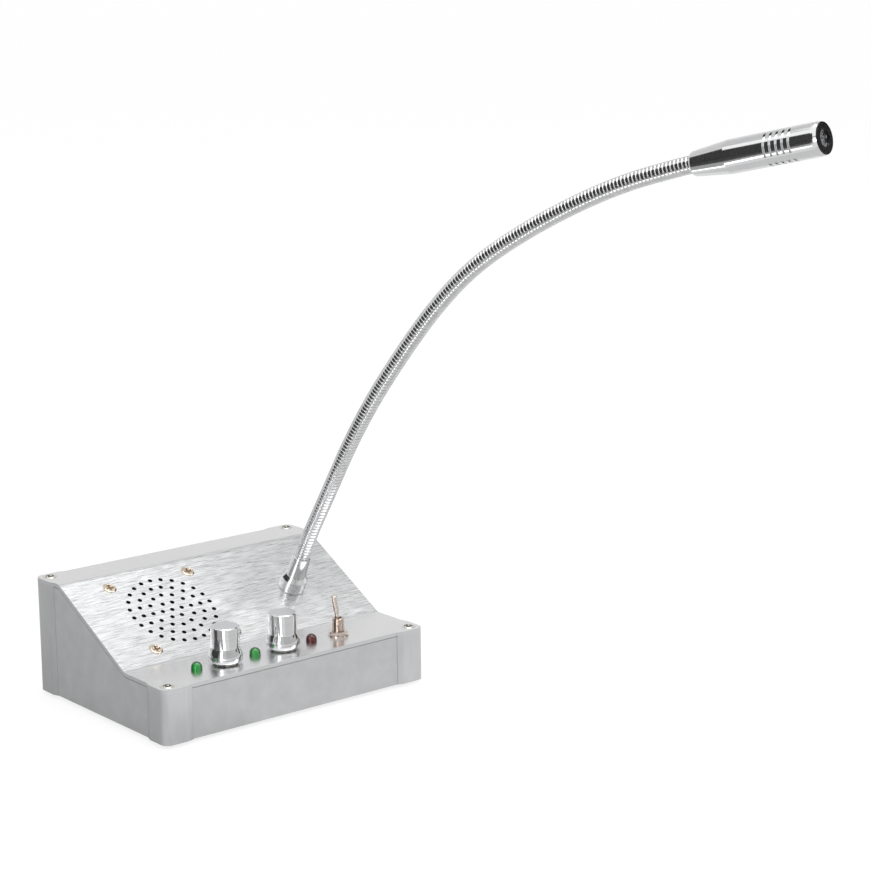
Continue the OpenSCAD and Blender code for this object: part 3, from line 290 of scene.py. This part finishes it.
def tinted_lens(name, deep, bright):
    # Tinted acrylic dome: glossy. Its colour is painted lighter in the middle and darker towards its edge,
    # where the eye sees it at a slant: painted light and shade.
    made, tree, shader = surface(name, deep, {"Roughness": 0.04, "IOR": 1.49, "Coat Weight": 0.8,
                                              "Coat Roughness": 0.02})
    # Painted light and shade: the tint runs from a lit middle to a shaded rim by viewing angle.
    rim = add(tree, "ShaderNodeLayerWeight", {"Blend": 0.4})
    ramp = add(tree, "ShaderNodeValToRGB", {"stops": [(0.0, bright), (0.12, bright), (0.42, deep)]},
               {"Fac": rim.outputs["Facing"]})
    tree.links.new(ramp.outputs["Color"], shader.inputs["Base Color"])
    return made


def lacquered_board():
    # Fibreglass board under green lacquer: copper tracks show as lighter lines every 8 mm.
    made, tree, shader = surface("lacquered_board", "#235c3b", {"Roughness": 0.35, "Coat Weight": 0.4})
    place = add(tree, "ShaderNodeTexCoord")
    tracks = add(tree, "ShaderNodeTexBrick",
                 {"Scale": 1/(16*MM), "Mortar Size": 0.03, "Color1": linear("#235c3b"),
                  "Color2": linear("#1f5335"), "Mortar": linear("#3c8a5b")},
                 {"Vector": place.outputs["Object"]})
    tree.links.new(tracks.outputs["Color"], shader.inputs["Base Color"])
    return made


green_lens = tinted_lens("green_lens", "#043a15", "#1f9a3a")
red_lens = tinted_lens("red_lens", "#1c0303", "#5c100e")
winding_nodes = ["neck_stub", *[f"neck_{i}" for i in range(1, 11)], "neck_tip"]

FINISHES = {
    brushed_sheet: ["top_plate"],
    post_anodised: ["post_front_left", "post_front_right", "post_rear_left", "post_rear_right"],
    panel_anodised: ["panel_front", "panel_rear", "panel_left", "panel_right"],
    turned_aluminium: ["knob_left", "knob_right", "pot_shaft_left", "pot_shaft_right"],
    nickel_steel: ["top_screws", "base_screws", "speaker_nuts", "pot_nuts", "socket_nuts", "neck_nut"],
    zinc_yellow: ["speaker_screws"],
    thin_nickel: ["switch_bushing", "switch_nut", "switch_lever"],
    wound_chrome: winding_nodes,
    mirror_chrome: ["neck_collar", "neck_ferrule"],
    satin_chrome: ["mic_tail", "mic_shell"],
    zinc_steel: ["volume_pot_left", "volume_pot_right"],
    drawn_can: ["mic_capsule"],
    coated_steel: ["base_plate"],
    moulded_rubber: ["rubber_feet"],
    woven_cloth(): ["grille_cloth"],
    basket_lacquer: ["speaker_basket"],
    ferrite: ["speaker_magnet"],
    pressed_paper: ["speaker_cone"],
    lacquered_board(): ["circuit_board"],
    milky_nylon: ["board_spacers"],
    black_epoxy: ["board_parts"],
    black_oxide: ["grub_screw_left", "grub_screw_right"],
    blue_phenolic: ["switch_case"],
    green_lens: ["lamp_left", "lamp_middle"],
    red_lens: ["lamp_right"],
    black_abs: ["power_socket", "line_socket"],
    black_acetal: ["mic_insert"],
}
for finish, names in FINISHES.items():
    for name in names:
        nodes[name].data.materials.clear()
        nodes[name].data.materials.append(finish)


# The wound neck and the switch's thread

NECK_R = 4.05*MM
BORE_R = 2.0*MM
PITCH = 2.05*MM
AROUND = 40
# One turn of the winding: share of the pitch, and depth under the crest in millimetres
WOUND_TURN = [(0.0, 0.34), (0.07, 0.3), (0.13, 0.04), (0.17, 0.0), (0.22, 0.0), (0.78, 0.0), (0.83, 0.0),
              (0.87, 0.04), (0.93, 0.3)]
# One turn of an M6 x 0.75 thread: a flat crest, two flanks and a flat root
THREAD_TURN = [(0.0, 0.42), (0.1, 0.42), (0.48, 0.0), (0.62, 0.0)]


def turn_depth(profile, share):
    """Depth in metres under the crest at a share of one turn."""
    share %= 1.0
    for (a, low), (b, high) in zip(profile, profile[1:] + [(1.0, profile[0][1])]):
        if share <= b:
            return (low + (high - low)*(share - a)/(b - a))*MM
    return profile[0][1]*MM


def centre_line(start, knee, end, steps=120):
    """Middle line through a knee: straight, then a curve over the shorter leg's length, then straight."""
    leg = min((knee - start).length, (end - knee).length)
    turn_in = knee + (start - knee).normalized()*leg
    turn_out = knee + (end - knee).normalized()*leg
    points = [start] if (turn_in - start).length > 1e-6 else []
    points += [turn_in*(1 - t)**2 + knee*2*t*(1 - t) + turn_out*t**2
               for t in (i/steps for i in range(steps + 1))]
    return points + ([end] if (end - turn_out).length > 1e-6 else [])


class Line:
    """A line of points that gives its place and direction at a distance along it."""

    def __init__(self, points):
        self.points = points
        self.reach = [0.0]
        for a, b in zip(points, points[1:]):
            self.reach.append(self.reach[-1] + (b - a).length)
        self.length = self.reach[-1]
        steps = [(b - a).normalized() for a, b in zip(points, points[1:])]
        self.heading = [steps[0]] + [(a + b).normalized() for a, b in zip(steps, steps[1:])] + [steps[-1]]

    def at(self, s):
        low, high = 0, len(self.reach) - 1
        while high - low > 1:
            middle = (low + high)//2
            low, high = (middle, high) if self.reach[middle] <= s else (low, middle)
        share = (s - self.reach[low])/(self.reach[high] - self.reach[low])
        return (self.points[low].lerp(self.points[high], share),
                self.heading[low].lerp(self.heading[high], share).normalized())


def wound_tube(line, side, offset, radius, bore, pitch, profile, around):
    """A closed tube wound with a groove.

    side is square to the line; offset is the winding's length before it.
    """
    mesh = bmesh.new()

    def point(s, i, out):
        place, heading = line.at(s)
        angle = 2*math.pi*i/around
        return mesh.verts.new(place + (side*math.cos(angle) + heading.cross(side)*math.sin(angle))*out)

    ends = [[point(s, i, radius - turn_depth(profile, (s + offset)/pitch - i/around)) for i in range(around)]
            for s in (0.0, line.length)]
    made = {}

    def winding(row, i):
        row, i = row + len(profile)*(i//around), i % around
        turn, mark = divmod(row, len(profile))
        s = (turn + profile[mark][0] + i/around)*pitch - offset
        if s < 0.02*pitch:
            return ends[0][i]
        if s > line.length - 0.02*pitch:
            return ends[1][i]
        if (row, i) not in made:
            made[row, i] = point(s, i, radius - profile[mark][1]*MM)
        return made[row, i]

    first = (math.floor(offset/pitch) - 2)*len(profile)
    last = (math.ceil((offset + line.length)/pitch) + 2)*len(profile)
    for i in range(around):
        for row in range(first, last):
            corners = []
            for corner in (winding(row, i), winding(row, i + 1), winding(row + 1, i + 1),
                           winding(row + 1, i)):
                if corner not in corners:
                    corners.append(corner)
            if len(corners) > 2:
                mesh.faces.new(corners)
    bores = [[point(line.length*share, i, bore) for i in range(around)]
             for share in (1.0, 0.75, 0.5, 0.25, 0.0)]
    loops = [ends[1], *bores, ends[0]]
    for low, high in zip(loops, loops[1:]):
        for i in range(around):
            j = (i + 1) % around
            mesh.faces.new((low[i], low[j], high[j], high[i]))
    return mesh


def piece(mesh, name, finish):
    """Turns a bmesh into a named smooth piece with its finish."""
    bmesh.ops.recalc_face_normals(mesh, faces=mesh.faces)
    for edge in mesh.edges:
        edge.smooth = len(edge.link_faces) == 2 and edge.calc_face_angle() < math.radians(50)
    data = bpy.data.meshes.new(name)
    mesh.to_mesh(data)
    mesh.free()
    for face in data.polygons:
        face.use_smooth = True
    data.materials.append(finish)
    made = bpy.data.objects.new(name, data)
    scene.collection.objects.link(made)
    return made


def lathe(outline, around, place):
    """A closed turned ring: outline is a closed list of (radius, height), place its frame."""
    mesh = bmesh.new()
    turns = [2*math.pi*i/around for i in range(around)]
    rings = [[mesh.verts.new(place @ Vector((radius*math.cos(a), radius*math.sin(a), height))) for a in turns]
             for radius, height in outline]
    for low, high in zip(rings, rings[1:] + rings[:1]):
        for i in range(around):
            j = (i + 1) % around
            mesh.faces.new((low[i], low[j], high[j], high[i]))
    return mesh


order = [joints[f"neck_{'swing' if i % 2 else 'lean'}_{i//2 + 1}"] for i in range(11)]
knees = [Vector(j["pos_m"]) for j in order]
insert = nodes["mic_insert"]
mic_front = sum((insert.matrix_world @ v.co for v in insert.data.vertices), Vector())
mic_front /= len(insert.data.vertices)
mic_axis = (mic_front - knees[10]).normalized()

STUB_IN = 14*MM
TIP_IN = 6*MM
marks = [knees[0] - slope_up*STUB_IN]
marks += [(a + b)/2 for a, b in zip(knees, knees[1:])]
marks += [knees[10] + mic_axis*TIP_IN]
wound = 0.0
for i in range(11):
    line = Line(centre_line(marks[i], knees[i], marks[i + 1]))
    stretch = piece(wound_tube(line, neck_side, wound, NECK_R, BORE_R, PITCH, WOUND_TURN, AROUND),
                    f"neck_winding_{i + 1}", wound_chrome)
    wound += line.length
    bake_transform(stretch)
    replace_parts(stretch, *(winding_nodes[i:] if i == 10 else winding_nodes[i:i + 1]))


# Turned skins, rims and the switch's barrel

TURNED_AROUND = 96


def turned(name, outline, base, finish, body, tilt=0.0):
    """A closed turned piece on an axis through base that leans tilt forwards; outline is in millimetres."""
    place = Matrix.Translation(base) @ Matrix.Rotation(tilt, 4, "X")
    made = piece(lathe([(r*MM, h*MM) for r, h in outline], TURNED_AROUND, place), name, finish)
    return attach(made, body)


# The skirt and flare of each knob as one smooth turned skin, just over the solid's straight steps
PLATE_TOP = 30.0
KNOB_GAP, KNOB_R, FLARE, SKIRT_TOP, FLARE_TOP, SKIN, SKIN_BORE_R = 1.0, 7.2, 1.3, 2.6, 7.3, 0.07, 6.9
flare = [(KNOB_R + FLARE*math.cos(math.pi*t/2) + SKIN*(1 - t), SKIRT_TOP + (FLARE_TOP - SKIRT_TOP)*t)
         for t in (i/24 for i in range(25))]
SKIN_FOOT = [(8.1, 0.1), (8.5, 0.45)]
SKIN_BORE = [(SKIN_BORE_R, FLARE_TOP), (SKIN_BORE_R, 0.1)]
for side in ("left", "right"):
    joint = joints[f"{side}_knob_turn"]
    foot = Vector((joint["pos_m"][0], joint["pos_m"][1], (PLATE_TOP + KNOB_GAP)*MM))
    turned(f"knob_skin_{side}", SKIN_FOOT + flare + SKIN_BORE, foot, turned_aluminium,
           joint["child"])

# Raised rims of the countersunk heads: they catch the light round the flat recess
HEAD_RIM = [(3.45, -0.1), (3.45, 0.02), (3.2, 0.2), (2.8, 0.4), (2.35, 0.5), (2.2, 0.42), (2.15, -0.1)]
SCREW_APART, TOP_SKIN = 12*MM, 0.05*MM
for node, tilt, finish, slot_name in (("top_screws", 0.0, nickel_steel, "screw_nickel"),
                                      ("speaker_screws", slope_angle, zinc_yellow, "screw_brassy")):
    face = Vector((0.0, -math.sin(tilt), math.cos(tilt)))
    heads = []
    for point in (v.co for v in nodes[node].data.vertices):
        near = [head for head in heads if (head[0] - point).length < SCREW_APART]
        if near:
            near[0].append(point)
        else:
            heads.append([point])
    for number, head in enumerate(heads):
        reach = max(p.dot(face) for p in head)
        top = [p for p in head if p.dot(face) > reach - TOP_SKIN]
        lowest, highest = (Vector([pick(p[k] for p in top) for k in range(3)]) for pick in (min, max))
        turned(f"{node}_rim_{number + 1}", HEAD_RIM, (lowest + highest)/2, finish, "case", tilt)

# The switch's barrel with its thread
pivot = Vector(joints["lever_tip"]["pos_m"])
foot = Vector((pivot.x, pivot.y, PLATE_TOP*MM))
BUSH_H, BUSH_R, CORE_R, BORE_IN_R = 9.2, 3.2, 2.7, 2.1
BARREL = [(BORE_IN_R, -2.5), (4.75, -2.5), (4.75, -2.0), (BUSH_R, -2.0), (BUSH_R, 0.0), (CORE_R, 0.0),
          (CORE_R, BUSH_H), (1.94, BUSH_H), (BORE_IN_R, 6.7)]
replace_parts(turned("switch_barrel", BARREL, foot, thin_nickel, "case"), "switch_bushing")
THREAD_START, THREAD_BORE_R, THREAD_PITCH, THREAD_AROUND = 0.2, 2.6, 0.75, 48
line = Line([foot + Vector((0, 0, h*MM)) for h in (THREAD_START, BUSH_H)])
thread = wound_tube(line, Vector((1, 0, 0)), 0.0, BUSH_R*MM, THREAD_BORE_R*MM, THREAD_PITCH*MM, THREAD_TURN,
                    THREAD_AROUND)
thread = piece(thread, "switch_thread", thin_nickel)
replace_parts(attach(thread, "case"), "switch_bushing")


# The camera at the photograph's viewing angle

FOCAL_PX, FRAME_PX, SENSOR_MM = 2453.5, 870, 36.0
EYE_MM = (-684.281, -1007.534, 403.962)
azimuth, elevation, roll = (math.radians(a) for a in (-39.182, 12.603, -0.620))
back = Vector((math.sin(azimuth)*math.cos(elevation), -math.cos(azimuth)*math.cos(elevation),
               math.sin(elevation)))
right = (-back).cross(Vector((0, 0, 1))).normalized()
up = right.cross(-back)
x_axis = right*math.cos(roll) + up*math.sin(roll)
y_axis = -right*math.sin(roll) + up*math.cos(roll)
lens = bpy.data.cameras.new("camera")
lens.sensor_width = SENSOR_MM
lens.sensor_fit = "HORIZONTAL"
lens.lens = FOCAL_PX*SENSOR_MM/FRAME_PX
lens.clip_start = 0.05
lens.clip_end = 20.0
camera = bpy.data.objects.new("camera", lens)
camera.matrix_world = Matrix.Translation(Vector(EYE_MM)*MM) @ Matrix(
    (x_axis, y_axis, back)).transposed().to_4x4()
scene.collection.objects.link(camera)
scene.camera = camera


# The studio: floor, cloths that the metal mirrors, lamps and world light

def staged(name, mesh, finish):
    """Puts a mesh on the stage."""
    data = bpy.data.meshes.new(name)
    mesh.to_mesh(data)
    mesh.free()
    data.materials.append(finish)
    made = bpy.data.objects.new(name, data)
    scene.collection.objects.link(made)
    return made


def floor_sheet(finish, half=30.0):
    """The paper under and round the object."""
    mesh = bmesh.new()
    mesh.faces.new([mesh.verts.new((x, y, 0.0)) for x, y in ((-half, -half), (half, -half), (half, half),
                                                             (-half, half))])
    return staged("floor", mesh, finish)


STAGE_MIDDLE = (0.02, -0.08)


def sweep(name, start, end, near, far, low, height, finish):
    """A cloth that only metal mirrors: it lies at the low level from near to far and rises there.

    Its sides are angles in degrees from straight behind, turning left.
    """
    mesh = bmesh.new()
    steps = math.ceil((end - start)/4)
    ribs = []
    for i in range(steps + 1):
        turn = math.radians(start + (end - start)*i/steps)
        away = Vector((-math.sin(turn), math.cos(turn), 0.0))
        ribs.append([mesh.verts.new(Vector((*STAGE_MIDDLE, z)) + away*reach)
                     for reach, z in ((near, low), (far, low), (far, height))])
    for rib, after in zip(ribs, ribs[1:]):
        for j in (0, 1):
            mesh.faces.new((rib[j], after[j], after[j + 1], rib[j + 1]))
    made = staged(name, mesh, finish)
    made.visible_camera = False
    made.visible_diffuse = False
    made.visible_shadow = False
    return made


def lamp_panel(name, centre, target, width, height, watts):
    """A white soft box that looks at target; the camera doesn't see it."""
    data = bpy.data.lights.new(name, "AREA")
    data.shape = "RECTANGLE"
    data.size = width
    data.size_y = height
    data.energy = watts
    made = bpy.data.objects.new(name, data)
    made.matrix_world = Matrix.Translation(Vector(centre)) @ (
        Vector(centre) - Vector(target)).to_track_quat("Z", "Y").to_matrix().to_4x4()
    made.visible_camera = False
    scene.collection.objects.link(made)
    return made


def paper(name, code, camera_share, mirror_share, glow):
    # Seamless paper that glows for the camera, so that it shows pure white except where the object shades it.
    made, tree, shader = surface(name, code, {"Roughness": 0.9})
    lit = add(tree, "ShaderNodeEmission", {"Color": linear("#ffffff"), "Strength": glow})
    path = add(tree, "ShaderNodeLightPath")
    mirrored = add(tree, "ShaderNodeMath", {"operation": "MULTIPLY", 1: mirror_share},
                   {0: path.outputs["Is Glossy Ray"]})
    seen = add(tree, "ShaderNodeMath", {"operation": "MULTIPLY", 1: camera_share},
               {0: path.outputs["Is Camera Ray"]})
    share = add(tree, "ShaderNodeMath", {"operation": "MAXIMUM"}, {0: seen.outputs["Value"],
                                                                   1: mirrored.outputs["Value"]})
    mixed = add(tree, "ShaderNodeMixShader", links={"Fac": share.outputs["Value"], 1: shader.outputs["BSDF"],
                                                    2: lit.outputs["Emission"]})
    output = [n for n in tree.nodes if n.type == "OUTPUT_MATERIAL"][0]
    tree.links.new(mixed.outputs["Shader"], output.inputs["Surface"])
    return made


floor_sheet(paper("white_paper", "#dedede", 0.66, 0.05, 1.25))
# Studio cloths round the object: the dark, grey and bright shapes that polished metal mirrors.
# Name, colour, angles in degrees, near and far edge, low level and height in metres.
CLOTHS = [
    ("dark_sweep", "#3a3a3a", 31, 76, 0.05, 1.6, 0.001, 1.5),
    ("grey_sweep", "#a0a0a0", 76, 106, 0.05, 1.6, 0.001, 1.0),
    ("far_dark_sweep", "#3a3a3a", 76, 96, 0.45, 1.55, 0.002, 1.5),
    ("left_front_sweep", "#dcdcdc", 106, 150, 0.05, 1.6, 0.001, 1.2),
    ("front_sweep", "#c9c9c9", 150, 256, 0.05, 1.65, 0.001, 1.2),
    ("right_flag", "#161616", 257, 279, 1.5, 1.6, 0.01, 1.4),
    ("high_right_flag", "#161616", 232, 257, 1.5, 1.6, 0.45, 1.4),
    ("rear_sweep", "#f7f7f7", 256, 391, 1.2, 1.65, 0.001, 2.4),
]
for name, code, *measures in CLOTHS:
    cloth = worked(name, [(0.3, code), (0.7, code)], (0.9, 1.0), (4.0, 4.0, 4.0))
    sweep(name, *measures, cloth)
sweep("bright_sheet", 109, 119, 0.04, 0.35, 0.003, 0.02, paper("bright_card", "#ffffff", 0.0, 1.0, 3.0))

world = bpy.data.worlds.new("studio_light")
scene.world = world
world.use_nodes = True
sky = world.node_tree
sky.nodes.clear()
even = add(sky, "ShaderNodeBackground", {"Color": linear("#ffffff"), "Strength": 0.62})
white = add(sky, "ShaderNodeBackground", {"Color": linear("#ffffff"), "Strength": 1.0})
rays = add(sky, "ShaderNodeLightPath")
shown = rays.outputs["Is Camera Ray"]
for kind in ("Is Glossy Ray", "Is Transmission Ray"):
    shown = add(sky, "ShaderNodeMath", {"operation": "MAXIMUM"}, {0: shown, 1: rays.outputs[kind]})
    shown = shown.outputs["Value"]
mixed = add(sky, "ShaderNodeMixShader", links={"Fac": shown, 1: even.outputs["Background"],
                                               2: white.outputs["Background"]})
add(sky, "ShaderNodeOutputWorld", links={"Surface": mixed.outputs["Shader"]})

lamp_panel("top_box", (0.2, -0.3, 1.6), (0.0, -0.05, 0.1), 1.2, 1.2, 9.0)
lamp_panel("left_strip", (-1.33, -0.74, 0.45), (0.0, -0.05, 0.1), 0.3, 0.8, 3.0)
lamp_panel("right_box", (1.3, -1.0, 0.9), (0.0, 0.0, 0.1), 0.9, 0.9, 6.0)

scene.view_settings.view_transform = "Standard"
